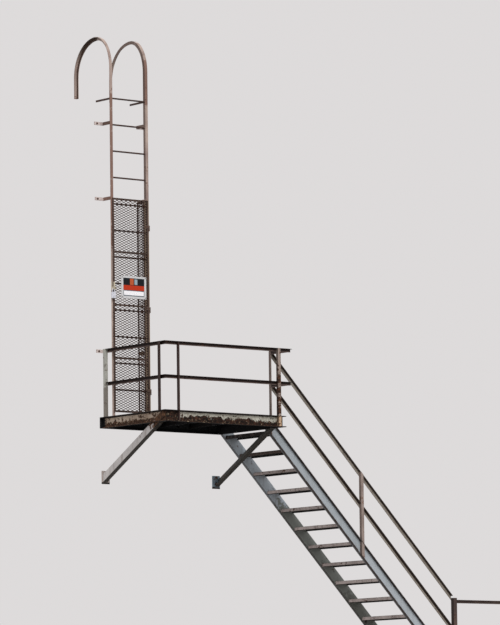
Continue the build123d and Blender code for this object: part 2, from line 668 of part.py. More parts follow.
shackle_z = eye_z - HASP_HOLE_RADIUS + SHACKLE_RADIUS + SHACKLE_PLAY
lock_top = shackle_z - SHACKLE_RISE
bend_low = shackle_z - SHACKLE_BEND_RADIUS
leg_left = (keeper_x - SHACKLE_BEND_RADIUS, hole_y, lock_top)
leg_right = (keeper_x + SHACKLE_BEND_RADIUS, hole_y, lock_top)
turn_left = (leg_left[0], hole_y, bend_low)
turn_right = (leg_right[0], hole_y, bend_low)
shackle_path = Line(leg_left, turn_left)
shackle_path += ThreePointArc(turn_left, (keeper_x, hole_y, shackle_z), turn_right)
shackle_path += Line(turn_right, leg_right)
shackle = sweep(Plane(origin=leg_left, z_dir=UP) * Circle(SHACKLE_RADIUS), path=shackle_path)
lock_body = Box(LOCK_WIDTH, LOCK_DEPTH, LOCK_HEIGHT)
lock_body = fillet(lock_body.edges(), LOCK_EDGE_RADIUS)
parts["padlock"] = Pos(keeper_x, hole_y, lock_top - LOCK_HEIGHT / 2) * lock_body + shackle

# Notice plate on the front of the mesh
notice_x = ladder_middle + NOTICE_OFFSET
notice_z = deck_z + NOTICE_CENTRE_HEIGHT
notice_low = (notice_x - NOTICE_WIDTH / 2, mesh_face - NOTICE_THICK, notice_z - NOTICE_HEIGHT / 2)
notice_high = (notice_x + NOTICE_WIDTH / 2, mesh_face, notice_z + NOTICE_HEIGHT / 2)
parts["notice_plate"] = box_between(notice_low, notice_high)

os.makedirs("parts", exist_ok=True)
for name, shape in parts.items():
    export_step(shape, f"parts/{name}.step")
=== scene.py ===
import math

import bpy
from mathutils import Matrix, Vector


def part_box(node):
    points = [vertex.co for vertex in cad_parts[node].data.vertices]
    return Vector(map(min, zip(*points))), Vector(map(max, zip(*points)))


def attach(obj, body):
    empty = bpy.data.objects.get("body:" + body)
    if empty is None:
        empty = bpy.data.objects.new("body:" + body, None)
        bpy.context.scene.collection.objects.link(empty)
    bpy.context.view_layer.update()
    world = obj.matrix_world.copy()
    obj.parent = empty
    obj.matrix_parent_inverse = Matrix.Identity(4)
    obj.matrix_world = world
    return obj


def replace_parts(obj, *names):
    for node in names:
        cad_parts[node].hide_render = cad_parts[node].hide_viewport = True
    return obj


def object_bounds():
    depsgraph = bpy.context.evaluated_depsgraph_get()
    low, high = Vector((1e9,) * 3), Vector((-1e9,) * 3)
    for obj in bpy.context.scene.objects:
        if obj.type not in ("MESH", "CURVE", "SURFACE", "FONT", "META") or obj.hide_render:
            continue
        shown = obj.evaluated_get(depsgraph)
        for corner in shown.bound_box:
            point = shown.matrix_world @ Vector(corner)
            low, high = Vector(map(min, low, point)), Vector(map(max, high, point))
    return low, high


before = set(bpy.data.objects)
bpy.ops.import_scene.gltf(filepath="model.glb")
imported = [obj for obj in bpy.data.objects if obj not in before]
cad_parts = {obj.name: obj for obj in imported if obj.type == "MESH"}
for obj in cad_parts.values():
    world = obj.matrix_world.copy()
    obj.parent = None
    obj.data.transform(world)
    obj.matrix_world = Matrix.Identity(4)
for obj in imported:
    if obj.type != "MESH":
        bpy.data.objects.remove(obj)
cad_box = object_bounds()

# Platform frame: rolled steel channels, cut, mitred and welded, brush-painted pale grey-green
# long ago. The lower half of the fascia has rusted through its paint to brown-black scale.


def linear(hex_code):
    """Return an sRGB hex code as a linear colour with full alpha."""
    shares = [int(hex_code[i : i + 2], 16) / 255 for i in (0, 2, 4)]
    curve = [s / 12.92 if s <= 0.04045 else ((s + 0.055) / 1.055) ** 2.4 for s in shares]
    return (*curve, 1.0)


def add_node(tree, kind, inputs=(), **settings):
    """Add a node with its settings and inputs, and return its outputs.

    Inputs come by name or in order. Each is a constant, a socket or a list of sockets.
    """
    made = tree.nodes.new(kind)
    for name, value in settings.items():
        setattr(made, name, value)
    named = inputs if isinstance(inputs, dict) else dict(enumerate(inputs))
    for key, value in named.items():
        for source in value if isinstance(value, list) else [value]:
            if isinstance(source, bpy.types.NodeSocket):
                tree.links.new(source, made.inputs[key])
            else:
                made.inputs[key].default_value = source
    return made.outputs


def new_material(name):
    """Return a new material, its tree and a Principled shader wired to the output."""
    material = bpy.data.materials.new(name)
    material.use_nodes = True
    tree = material.node_tree
    shader = next(n for n in tree.nodes if n.type == "BSDF_PRINCIPLED")
    return material, tree, shader


def blotches(tree, place, cells, low, high, detail=5.0, roughness=0.6):
    """Return 1 where a cloud of so many cells a metre passes high, and 0 below low."""
    cloud = {"Vector": place, "Scale": cells, "Detail": detail, "Roughness": roughness}
    cloud = add_node(tree, "ShaderNodeTexNoise", cloud)[0]
    step = {"Value": cloud, "From Min": low, "From Max": high}
    return add_node(tree, "ShaderNodeMapRange", step)[0]


def coated(tree, base, coats):
    """Return a base colour under coats of paint, each given by its share and colour."""
    for share, paint in coats:
        layers = {0: share, 6: base, 7: paint}
        base = add_node(tree, "ShaderNodeMix", layers, data_type="RGBA")[2]
    return base


def within(tree, place, slabs, ragged):
    """Return 1 inside every slab: a direction, a middle, a half width and any repeat."""
    soft_edge = 0.004
    inside = None
    for direction, middle, half, *repeat in slabs:
        away = (place, direction)
        away = add_node(tree, "ShaderNodeVectorMath", away, operation="DOT_PRODUCT")["Value"]
        steps = [("SUBTRACT", middle)]
        if repeat:
            steps.append(("ADD", repeat[0] / 2))
            steps.append(("FLOORED_MODULO", repeat[0]))
            steps.append(("SUBTRACT", repeat[0] / 2))
        steps += [("ABSOLUTE", 0.0), ("ADD", ragged)]
        for operation, amount in steps:
            away = add_node(tree, "ShaderNodeMath", (away, amount), operation=operation)[0]
        edge = {"Value": away, "From Min": half + soft_edge, "From Max": half}
        mask = add_node(tree, "ShaderNodeMapRange", edge)[0]
        if inside is not None:
            mask = add_node(tree, "ShaderNodeMath", (inside, mask), operation="MULTIPLY")[0]
        inside = mask
    return inside


# Cells a metre of the clouds in old paint: faded patches of 320 mm, rust of 77 mm, drips
# 38 mm wide and fourteen times as long, blooms of 32 mm and flakes of 26 mm in the rust,
# chips of 14 mm and grit of 4 mm
patch_cells, rust_cells, drip_cells, drip_squeeze = 3.1, 13.0, 26.0, 0.07
bloom_cells, flake_cells, chip_cells, grit_cells = 31.0, 38.0, 70.0, 240.0


def weathered_paint(
    name, fresh, faded, grime, rust, scale, cover, under=("17120f", 0.85), side=None,
    zones=(), rusty=(), specks=None, shade_and_dark_zones=(), lugs=None,
):
    """Return old paint: faded in patches, streaked with grime, rusted over a share of it.

    cover is the rusted share. Under is the colour and strength of grime with painted shade on
    faces turned down, and side that of painted shade on faces turned left; each may add slabs
    that it keeps to. Each zone is a set of slabs with its own paint, each rusty zone one where
    scale has taken over, and shade_and_dark_zones is like zones, but lies over the rust and
    holds painted shade and dark patches; all give how ragged their border is, in metres.
    Specks of paint are left standing in the rust, and lugs draws what is raised from the plate.
    """
    material, tree, shader = new_material(name)
    coordinates = add_node(tree, "ShaderNodeTexCoord")
    place = coordinates["Object"]
    cloud = {"Vector": place, "Scale": rust_cells, "Detail": 9.0, "Roughness": 0.68}
    cloud = add_node(tree, "ShaderNodeTexNoise", cloud)[0]
    centred = add_node(tree, "ShaderNodeMath", (cloud, 0.5), operation="SUBTRACT")[0]

    def bordered(slabs, ragged):
        """Return 1 inside the slabs, with a border that wanders as the rust does."""
        wander = add_node(tree, "ShaderNodeMath", (centred, ragged), operation="MULTIPLY")[0]
        return within(tree, place, slabs, wander)

    # The more cover, the lower the level at which a cloud turns to rust or to a chip
    rust_from, chips_from = 0.66 - 0.32 * cover, 0.78 - 0.25 * cover
    step = {"Value": cloud, "From Min": rust_from, "From Max": rust_from + 0.05}
    rusted = add_node(tree, "ShaderNodeMapRange", step)[0]
    spots = [blotches(tree, place, chip_cells, chips_from, chips_from + 0.04, detail=3.0)]
    spots += [bordered(slabs, ragged) for slabs, ragged in rusty]
    for spot in spots:
        rusted = add_node(tree, "ShaderNodeMath", (rusted, spot), operation="MAXIMUM")[0]
    in_rust = [(blotches(tree, place, bloom_cells, 0.42, 0.72, detail=6.0), linear(rust))]
    if specks:
        flakes = blotches(tree, place, flake_cells, 0.60, 0.65, detail=4.0, roughness=0.7)
        in_rust.append((flakes, linear(specks)))

    drips = {"Vector": place, "Scale": (1, 1, drip_squeeze)}
    drips = add_node(tree, "ShaderNodeMapping", drips)[0]
    streaks = blotches(tree, drips, drip_cells, 0.5, 0.72)
    streaks = add_node(tree, "ShaderNodeMath", (streaks, 0.6), operation="MULTIPLY")[0]
    coats = [(blotches(tree, place, patch_cells, 0.38, 0.62), linear(faded))]
    coats += [(bordered(slabs, ragged), linear(paint)) for slabs, paint, ragged in zones]
    coats.append((streaks, linear(grime)))
    coats.append((rusted, coated(tree, linear(scale), in_rust)))
    # Painted shade and dark patches go on last, over the rust
    coats += [(bordered(slabs, ragged), linear(paint)) for slabs, paint, ragged in shade_and_dark_zones]
    # Faces turned left get painted shade, and faces turned down grime with painted shade
    facing = add_node(tree, "ShaderNodeSeparateXYZ", {"Vector": coordinates["Normal"]})
    for axis, shade_and_grime in ((0, side), (2, under)):
        if shade_and_grime:
            paint, strength, *slabs = shade_and_grime
            turned = {"Value": facing[axis], "From Min": -0.35, "From Max": -0.8}
            turned = add_node(tree, "ShaderNodeMapRange", turned)[0]
            shares = [strength]
            if slabs:
                shares.append(within(tree, place, slabs, 0.0))
            for share in shares:
                turned = (turned, share)
                turned = add_node(tree, "ShaderNodeMath", turned, operation="MULTIPLY")[0]
            coats.append((turned, linear(paint)))
    tree.links.new(coated(tree, linear(fresh), coats), shader.inputs["Base Color"])

    # Chalked paint has a broad, weak sheen, and rust has almost none
    rough = add_node(tree, "ShaderNodeMath", (rusted, 0.35, 0.55), operation="MULTIPLY_ADD")[0]
    tree.links.new(rough, shader.inputs["Roughness"])
    shader.inputs["Specular IOR Level"].default_value = 0.15
    if lugs:
        relief = (lugs(tree, place), 2.5, rusted)
    else:
        grit = {"Vector": place, "Scale": grit_cells, "Detail": 4.0, "Roughness": 0.6}
        relief = (add_node(tree, "ShaderNodeTexNoise", grit)[0], 0.5, rusted)
    relief = add_node(tree, "ShaderNodeMath", relief, operation="MULTIPLY_ADD")[0]
    bump = {"Height": relief, "Strength": 0.5, "Distance": 0.0008}
    tree.links.new(add_node(tree, "ShaderNodeBump", bump)[0], shader.inputs["Normal"])
    return material


def paint_nodes(material, *names):
    """Give CAD nodes their material."""
    for name in names:
        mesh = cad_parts[name].data
        mesh.materials.clear()
        mesh.materials.append(material)


X, Y, Z = (1, 0, 0), (0, 1, 0), (0, 0, 1)

# Painted shade: inside the frame, under the deck, the paint is made near black
platform_low, platform_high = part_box("deck_plate")
channel_low, channel_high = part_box("right_channel")
margin = 0.0005
under_deck_shade = (
    (X, 0.0, platform_high.x + margin),
    (Y, platform_low.y / 2, 2 * margin - platform_low.y / 2),
    (Z, 0.0, platform_high.z - margin),
)
top_edge_shade = ((Z, channel_high.z, 0.015),)
back_end = ((Y, 0.0, 0.05),)
right_end = ((X, channel_high.x, 0.07),)
lower_half, left_lower_half = ((Z, channel_low.z, 0.062),), ((Z, channel_low.z, 0.054),)
left_corner = ((X, -0.86, 0.24), (Y, -1.2, 0.2))
# Alkyd paint, pale grey-green and chalky, with rust scale in the fascia's lower half and
# round its corner that looks dark and rough, and specks of paint left standing in it. Grime
# and painted shade darken faces turned down, painted shade darkens the top edge and the
# frame's inside, and the right end and the back end next to the wall are made near black
platform_paint = weathered_paint(
    "platform_paint", "bdbcb0", "a19e92", "6a5a4d", "4d3226", "1b1512", 0.26,
    under=("0e0c0c", 0.97),
    rusty=((lower_half, 0.22), (left_corner, 0.6)),
    specks="95866f",
    shade_and_dark_zones=(
        (top_edge_shade, "241d1b", 0.03),
        (right_end, "2b201c", 0.02),
        (under_deck_shade, "0b0b0d", 0.0),
        (back_end, "17181a", 0.05),
    ),
)
paint_nodes(platform_paint, "front_channel", "right_channel", "wall_ledger")
# The left channel has weathered browner, and its back end next to the wall is near black.
# Its top edge and inside carry painted shade, and faces turned down grime and painted shade
left_paint = weathered_paint(
    "left_fascia_paint", "cbbcaa", "a69483", "7a6353", "5e4232", "33261e", 0.36,
    under=("0e0c0c", 0.97),
    rusty=((left_lower_half, 0.24), (((Y, -1.2, 0.1),), 0.8)),
    specks="a8927a",
    shade_and_dark_zones=((top_edge_shade, "241d1b", 0.03), (under_deck_shade, "0b0b0d", 0.0), (back_end, "17181a", 0.05)),
)
paint_nodes(left_paint, "left_channel")

# Deck: steel tread plate welded between the frame's webs on angle bearers, rusty where feet
# and rain have worn its paint, and nearly black underneath.
lug_pitch = 0.030


def tread_lugs(tree, place):
    """Return the raised lugs of tread plate: short bars set alternately at 45 degrees."""
    axes = add_node(tree, "ShaderNodeSeparateXYZ", {"Vector": place})
    along, across = (
        add_node(tree, "ShaderNodeMath", (axes[index], 1 / lug_pitch), operation="MULTIPLY")[0]
        for index in (0, 1)
    )
    first, second = (
        add_node(tree, "ShaderNodeMath", (along, across), operation=operation)[0]
        for operation in ("ADD", "SUBTRACT")
    )
    bars = []
    for long_way, short_way, shift in ((first, second, 0.0), (second, first, 1.0)):
        edges = []
        for way, outer, inner in ((long_way, 0.78, 0.68), (short_way, 0.24, 0.14)):
            for operation, amount in (("ADD", shift), ("PINGPONG", 1.0)):
                way = add_node(tree, "ShaderNodeMath", (way, amount), operation=operation)[0]
            edge = {"Value": way, "From Min": outer, "From Max": inner}
            edges.append(add_node(tree, "ShaderNodeMapRange", edge)[0])
        bars.append(add_node(tree, "ShaderNodeMath", edges, operation="MULTIPLY")[0])
    return add_node(tree, "ShaderNodeMath", bars, operation="MAXIMUM")[0]


# Brown-grey paint scuffed down to rust, with no gloss left and lugs that catch the light, and
# grime with painted shade making it nearly black underneath
deck_paint = weathered_paint(
    "deck_paint", "6f6a64", "575049", "3b322c", "7a4527", "2c211b", 0.55,
    under=("08090b", 1.0), lugs=tread_lugs,
)
paint_nodes(deck_paint, "deck_plate")
# Painted shade: the bearers under the deck are painted near black, which shows next to no form
bearer_paint = weathered_paint(
    "bearer_paint", "17161a", "121113", "0d0c0d", "1f1613", "100d0c", 0.45,
    under=("08090b", 0.95),
)
paint_nodes(bearer_paint, "deck_bearers")

# Knee braces: unequal steel angle welded to the frame, each foot on an anchored plate. Light
# grey paint on the outer faces, grime and painted shade below, with rust run down from the
# left one's head.
left_brace, right_brace = (X, -0.85, 0.4), (X, 0.85, 0.4)
brace_head = (Z, 0.05, 0.16)
# Light grey paint, flat and even, with painted shade making the right-hand brace dark
brace_paint = weathered_paint(
    "brace_paint", "c0bdbb", "aeabaa", "827873", "7d5a42", "3a2c24", 0.10,
    under=("1d1914", 0.97),
    zones=(((right_brace,), "4b4a47", 0.1),),
    rusty=(((left_brace, brace_head), 0.5),),
)
paint_nodes(brace_paint, "knee_braces")
plate_low, plate_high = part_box("brace_wall_plates")
plate_foot = ((Z, plate_low.z, 0.018),)
# The same paint, pinkish on the left-hand plate and blue-grey on the right-hand one, and
# near black along the bottom
plate_paint = weathered_paint(
    "plate_paint", "a89e99", "8f857f", "6f6058", "8a5a3c", "4a362b", 0.25,
    zones=(((right_brace,), "8497a3", 0.1),),
    shade_and_dark_zones=((plate_foot, "2b2522", 0.03),),
)
paint_nodes(plate_paint, "brace_wall_plates")

# Stringers: steel channel, saw-cut plumb and level at their ends, in the best-kept paint of
# the stair, a light blue-grey with grime run down from every tread. Painted shade darkens the
# outer one's flanges, and the inner one is darker towards the foot.
stringer_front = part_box("outer_stringer")[0].y
shaded_flanges = ((Y, stringer_front, 0.026),)
# Blue-grey paint, the smoothest of the stair and nearly free of rust
stringer_paint = weathered_paint(
    "stringer_paint", "a7aeb4", "9ba3a8", "93989b", "6e4b38", "5b5552", 0.03,
    under=("2b2522", 0.95), zones=((shaded_flanges, "39302d", 0.004),),
)
paint_nodes(stringer_paint, "outer_stringer")
flight_foot = -2.77
lower_part, lowest_part = ((Z, flight_foot, 1.9),), ((Z, flight_foot, 0.9),)
# The same paint seen from inside the flight, streaked and duller
inner_stringer_paint = weathered_paint(
    "inner_stringer_paint", "a3adb6", "939ba1", "676867", "5e4436", "2d2a28", 0.12,
    under=("1b1817", 0.95),
    zones=((lower_part, "6f736f", 0.8), (lowest_part, "5d605b", 0.8)),
)
paint_nodes(inner_stringer_paint, "inner_stringer")

# Treads: steel plate bent down along the front and back and welded between the stringers'
# webs, with raised lugs on top, worn brown in the middle. The top two are the darkest, and
# painted shade makes all of them black inside the bends and along the lips' lower edges.
tread_names = [name for name in sorted(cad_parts) if name.startswith("tread_")]
tread_low, tread_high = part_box(tread_names[0])
tread_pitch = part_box(tread_names[1])[0] - tread_low
tread_size = tread_high - tread_low
tread_plate = 0.005
inside_tread_shade = (
    (X, tread_low.x + tread_size.x / 2, tread_size.x / 2 - tread_plate + margin, tread_pitch.x),
    (Z, tread_low.z, tread_size.z - tread_plate, -tread_pitch.z),
)
tread_lip_shade = ((Z, tread_low.z, 0.005, -tread_pitch.z),)
top_two, topmost = ((Z, 0.0, 0.40),), ((Z, 0.0, 0.20),)
# Warm grey paint that feet have polished through to brown along each tread
tread_paint = weathered_paint(
    "tread_paint", "b3a9a6", "988e8b", "6a5e59", "6b452f", "352c28", 0.24,
    under=("0c0a09", 0.97),
    zones=((top_two, "4a3d38", 0.1), (topmost, "1b1615", 0.05)),
    shade_and_dark_zones=((inside_tread_shade, "0c0a09", 0.0), (tread_lip_shade, "1d1816", 0.003)),
    lugs=tread_lugs,
)
paint_nodes(tread_paint, *tread_names)

# Posts: light steel angle, and a flat bar at the stair head, slotted into the channels and
# welded. The railing's are dark brown, and the flight's have faded to a pinkish grey.
back_post, right_post = (Y, 0.0, 0.4), (X, 0.9, 0.3)
post_foot, post_lower_part = (Z, -0.06, 0.14), (Z, 0.1, 0.3)
rusty_edge = ((X, 0.78, 0.05), (Z, 0.32, 0.24))
# Dark brown paint, left grey-green at the back and worn to dull tan primer at the right, with
# painted shade on the front posts' faces turned left
post_paint = weathered_paint(
    "post_paint", "54433f", "3f312e", "2a2120", "6b4530", "2a201c", 0.28,
    side=("2b211f", 0.6, (Y, -0.8, 0.6)),
    zones=(
        ((back_post,), "a9aaa2", 0.3),
        ((right_post,), "97887f", 0.3),
        ((right_post, post_foot), "b89c80", 0.3),
        ((back_post, post_lower_part), "7d7871", 0.9),
    ),
    rusty=((rusty_edge, 1.2),),
)
paint_nodes(post_paint, "front_posts", "side_posts")
# Thin pinkish grey paint with rust breaking through it, and painted shade on faces turned left
stair_post_paint = weathered_paint(
    "stair_post_paint", "94867f", "7d6f69", "4c403c", "8a5430", "332722", 0.22,
    side=("5d4f4a", 0.5),
)
paint_nodes(stair_post_paint, "stair_middle_post", "stair_head_post")

# Rails and handrails: light steel angle with one leg turned out over the posts, mitred at
# the corners and welded, under thick dark brown paint. Painted shade darkens the upright leg
# just under the turned-out leg.
angle_leg = 0.038
rail_low, rail_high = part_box("left_rails")
rail_drop = rail_high.z - rail_low.z - angle_leg
shade_under_legs = [((Z, rail_high.z - drop, 0.025),) for drop in (0.0, rail_drop)]
# Thick brush paint, dark brown and dull, chipped to rust along the edges
rail_paint = weathered_paint(
    "rail_paint", "6e5c56", "4f413d", "2a2322", "6e4129", "231b19", 0.22,
    under=("0f0b0a", 0.97), zones=[(slabs, "2a1e1b", 0.03) for slabs in shade_under_legs],
)
paint_nodes(rail_paint, "left_rails", "front_rails", "return_rails")
handrail_low, handrail_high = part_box("stair_handrails")
step_down = math.hypot(tread_pitch.x, tread_pitch.z)
square = (-tread_pitch.z / step_down, 0, tread_pitch.x / step_down)
top_level = square[0] * handrail_low.x + square[2] * handrail_high.z
drops = (0.0, square[2] * rail_drop)
# The same paint on the flight has faded, and carries painted shade only in a line along the
# top of each rail
handrail_paint = weathered_paint(
    "handrail_paint", "8d867d", "7a736a", "5d534b", "6f442c", "2a221f", 0.14,
    under=("332b26", 0.9),
    zones=[(((square, top_level - drop, 0.006),), "3a312c", 0.01) for drop in drops],
)
paint_nodes(handrail_paint, "stair_handrails")

# Newel and end post: square steel tube standing on bolted base plates, with angle rails
# welded between them. They are painted dark brown like the other rails, and the paint has
# lifted in places and shows orange rust. Painted shade darkens their faces turned left.
newel_paint = weathered_paint(
    "newel_paint", "53453f", "3f3431", "2b2422", "7a482b", "261d1a", 0.30,
    side=("2a2220", 0.7),
)
paint_nodes(newel_paint, "lower_posts", "lower_rails")

# Ladder: two steel angles rolled over into goosenecks, with round bar rungs welded between
# them and flat-bar brackets behind. Tan primer shows through pinkish paint.
door_low, door_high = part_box("guard_door_mesh")
left_upper_part = ((X, door_low.x, 0.05), (Z, 2.9, 0.9))
right_upper_part = ((X, door_high.x, 0.1), (Z, 3.95, 0.25))
behind_mesh = ((X, door_high.x, 0.05), (Z, door_low.z, door_high.z - door_low.z))
bracket_feet = ((Y, 0.0, 0.009),)
ladder_zones = (
    (left_upper_part, "84685d", 0.5),
    (right_upper_part, "84685d", 0.4),
    (behind_mesh, "8f7d68", 0.2),
    (bracket_feet, "cfc1bc", 0.0),
)
# Thin pinkish paint, dry and patchy, with painted shade on the leg turned to the left
ladder_paint = weathered_paint(
    "ladder_paint", "b3a196", "93807a", "5d4a43", "84502f", "3d2b24", 0.22,
    under=("2a211d", 0.85), side=("56463f", 0.7, (Z, 3.7, 1.1)), zones=ladder_zones,
)
paint_nodes(ladder_paint, "right_ladder_rail", "ladder_wall_brackets")
# The left rail is paler, and carries painted shade on its faces turned left only where it
# comes down at the back
left_ladder_paint = weathered_paint(
    "left_ladder_paint", "b8a69b", "a08c84", "6d5850", "84502f", "3d2b24", 0.18,
    under=("2a211d", 0.85), side=("3d2a22", 0.9, (Y, 0.6, 0.5)), zones=ladder_zones,
)
paint_nodes(left_ladder_paint, "left_ladder_rail")
# Dark brown paint on the rungs, dull and a third gone to rust
rung_paint = weathered_paint(
    "rung_paint", "55423d", "43342f", "2b211f", "6a402a", "2a1f1b", 0.35,
    under=("17110f", 0.8),
)
paint_nodes(rung_paint, "ladder_rungs", "roof_straps")

# Guard door and side screen: flat-bar frames with expanded steel mesh tacked to their
# faces. The mesh is sheet slit and stretched into diamonds. Both were dipped in brown-grey
# paint, and painted shade darkens the edges turned to the left.
guard_paint = weathered_paint(
    "guard_paint", "55463f", "42362f", "2a221f", "6a402a", "241c19", 0.30,
    under=("17120f", 0.9), side=("231a18", 0.8),
)
paint_nodes(guard_paint, "guard_door_frame", "side_screen_frame")
# The same paint, thick on the strands, so that the mesh reads as one soft brown-grey
mesh_paint = weathered_paint(
    "mesh_paint", "5b4842", "4a3a34", "362a26", "633e2b", "2a201c", 0.30,
    under=("2a1e1a", 0.7),
)


def start_tree(name, inputs):
    """Return an empty Geometry Nodes tree and the outputs of its group input node."""
    tree = bpy.data.node_groups.new(name, "GeometryNodeTree")
    tree.interface.new_socket("Geometry", in_out="INPUT", socket_type="NodeSocketGeometry")
    for label, kind in inputs:
        tree.interface.new_socket(label, in_out="INPUT", socket_type=f"NodeSocket{kind}")
    tree.interface.new_socket("Geometry", in_out="OUTPUT", socket_type="NodeSocketGeometry")
    return tree, add_node(tree, "NodeGroupInput")


def end_tree(tree, given, geometry):
    """Realize the instances, set the material and wire the tree's output."""
    real = add_node(tree, "GeometryNodeRealizeInstances", {"Geometry": geometry})[0]
    painted = {"Geometry": real, "Material": given["Material"]}
    painted = add_node(tree, "GeometryNodeSetMaterial", painted)[0]
    add_node(tree, "NodeGroupOutput", {0: painted})


def plain_mesh(name, base, tree, values, body):
    """Run a tree on a base mesh and keep the result as a plain piece on a body."""
    piece = bpy.data.objects.new(name, base)
    bpy.context.scene.collection.objects.link(piece)
    modifier = piece.modifiers.new("repeats", "NODES")
    modifier.node_group = tree
    for item in tree.interface.items_tree:
        if item.in_out == "INPUT" and item.name in values:
            modifier[item.identifier] = values[item.name]
    made = piece.evaluated_get(bpy.context.evaluated_depsgraph_get())
    piece.data = bpy.data.meshes.new_from_object(made)
    piece.data.name = name
    piece.modifiers.clear()
    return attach(piece, body)


def expanded_mesh_tree():
    """Return the tree that crosses two strands in each cell of a grid."""
    tree, given = start_tree(
        "expanded_mesh",
        (
            ("Columns", "Int"),
            ("Rows", "Int"),
            ("Width", "Float"),
            ("Height", "Float"),
            ("Inner Width", "Float"),
            ("Inner Height", "Float"),
            ("Strand Size", "Vector"),
            ("Strand Slope", "Vector"),
            ("Bond Size", "Vector"),
            ("Place", "Vector"),
            ("Turn", "Vector"),
            ("Material", "Material"),
        ),
    )
    strand = add_node(tree, "GeometryNodeMeshCube", {"Size": given["Strand Size"]})[0]
    strands = []
    for side in (1, -1):
        turn = {0: given["Strand Slope"], "Scale": side}
        turn = add_node(tree, "ShaderNodeVectorMath", turn, operation="SCALE")[0]
        turned = {"Geometry": strand, "Rotation": turn}
        strands.append(add_node(tree, "GeometryNodeTransform", turned)[0])
    bond = add_node(tree, "GeometryNodeMeshCube", {"Size": given["Bond Size"]})[0]
    cell = add_node(tree, "GeometryNodeJoinGeometry", {0: [*strands, bond]})[0]
    grids = []
    for prefix, fewer, piece in (("", 0, cell), ("Inner ", 1, bond)):
        sizes = {"Size X": given[f"{prefix}Width"], "Size Y": given[f"{prefix}Height"]}
        for key, label in (("Vertices X", "Columns"), ("Vertices Y", "Rows")):
            count = (given[label], fewer)
            sizes[key] = add_node(tree, "ShaderNodeMath", count, operation="SUBTRACT")[0]
        grid = add_node(tree, "GeometryNodeMeshGrid", sizes)[0]
        upright = {"Geometry": grid, "Rotation": (math.pi / 2, 0, 0)}
        upright = add_node(tree, "GeometryNodeTransform", upright)[0]
        pieces = {"Points": upright, "Instance": piece}
        grids.append(add_node(tree, "GeometryNodeInstanceOnPoints", pieces)[0])
    sheet = add_node(tree, "GeometryNodeJoinGeometry", {0: grids})[0]
    placed = {"Geometry": sheet, "Translation": given["Place"], "Rotation": given["Turn"]}
    end_tree(tree, given, add_node(tree, "GeometryNodeTransform", placed)[0])
    return tree


mesh_tree = expanded_mesh_tree()
# The real sheet is the common three-quarter inch one, with diamonds 50.8 by 23.4 mm and
# strands 3.8 mm wide that stand turned out of it. It is drawn coarser than real, a quarter
# larger with flat strands, so that its diamonds show from the photograph's distance.
cell_width, cell_height = 0.0635, 0.0292
strand_width, strand_thick = 0.0062, 0.0015
bond_length, bond_height = 0.020, 0.0105


def expanded_mesh(name, node, body, turn):
    """Fill a CAD mesh sheet's place with whole diamonds, turned about Z."""
    low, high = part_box(node)
    size = high - low
    length = max(size.x, size.y)
    columns = round(length / cell_width)
    rows = round(size.z / cell_height)
    width, height = length / columns, size.z / rows
    reach = math.hypot(width, height) - strand_width
    values = {
        "Columns": columns,
        "Rows": rows,
        "Width": length - width,
        "Height": size.z - height,
        "Inner Width": length - 2 * width,
        "Inner Height": size.z - 2 * height,
        "Strand Size": (reach, strand_thick, strand_width),
        "Bond Size": (bond_length, strand_thick, bond_height),
        "Strand Slope": (0, math.atan2(height, width), 0),
        "Place": (low + high) / 2,
        "Turn": (0, 0, turn),
        "Material": mesh_paint,
    }
    base = bpy.data.meshes.new(name)
    piece = plain_mesh(name, base, mesh_tree, values, body)
    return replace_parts(piece, node)


expanded_mesh("guard_door_diamonds", "guard_door_mesh", "guard_door", 0)
expanded_mesh("side_screen_diamonds", "side_screen_mesh", "stair", math.pi / 2)

# Hinges, hasp, keeper and padlock: steel turned and stamped, zinc plated, now dull and
# speckled with rust. The padlock is a laminated block with a plated shackle.
dull_cells, speckle_cells = 60.0, 120.0  # a metre: dull bloom of 17 mm, speckles of 8 mm


def plated_steel(name, bright, dull, rust, cover):
    """Return plated steel gone dull, with rust speckles over a share of it."""
    material, tree, shader = new_material(name)
    place = add_node(tree, "ShaderNodeTexCoord")["Object"]
    rust_from = 0.68 - 0.3 * cover
    rusted = blotches(tree, place, speckle_cells, rust_from, rust_from + 0.06, detail=6.0)
    coats = [(blotches(tree, place, dull_cells, 0.35, 0.65), linear(dull))]
    coats.append((rusted, linear(rust)))
    tree.links.new(coated(tree, linear(bright), coats), shader.inputs["Base Color"])
    # Dull plating is a soft mirror, and the rust on it is neither metal nor smooth
    for label, plated, change in (("Metallic", 0.9, -0.9), ("Roughness", 0.42, 0.4)):
        value = (rusted, change, plated)
        value = add_node(tree, "ShaderNodeMath", value, operation="MULTIPLY_ADD")[0]
        tree.links.new(value, shader.inputs[label])
    return material


# Dull zinc with rust at the knuckles
zinc = plated_steel("dull_zinc", "6f6660", "4f4742", "5c3a28", 0.6)
paint_nodes(zinc, "hinge_pins", "door_hinge_leaves")
# Bright where the lock has rubbed the hasp and its keeper
hasp_plating = plated_steel("hasp_plating", "e3dcc6", "b3a894", "6e4d38", 0.3)
paint_nodes(hasp_plating, "hasp", "keeper")
# Brighter plating on the padlock
lock_plating = plated_steel("lock_plating", "f2f4fb", "cfd2dc", "7a6a5c", 0.10)
paint_nodes(lock_plating, "padlock")

# Notice: a generic printed aluminium plate bolted to the mesh, with a pale border, a black
# head, a red band and a white panel, and no lettering.
notice_low, notice_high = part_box("notice_plate")
wear_cells = 42.0  # a metre: wear in patches of 24 mm
# Each panel of the print: its left, right, bottom and top as shares of the plate, and its ink
panels = (
    ((0.075, 0.925, 0.09, 0.92), "46525a"),
    ((0.075, 0.925, 0.575, 0.92), "081016"),
    ((0.075, 0.925, 0.36, 0.595), "b8320f"),
    ((0.095, 0.905, 0.13, 0.34), "f4f4f7"),
    ((0.34, 0.50, 0.60, 0.90), "b8572f"),
    ((0.52, 0.65, 0.62, 0.88), "93a5ae"),
)


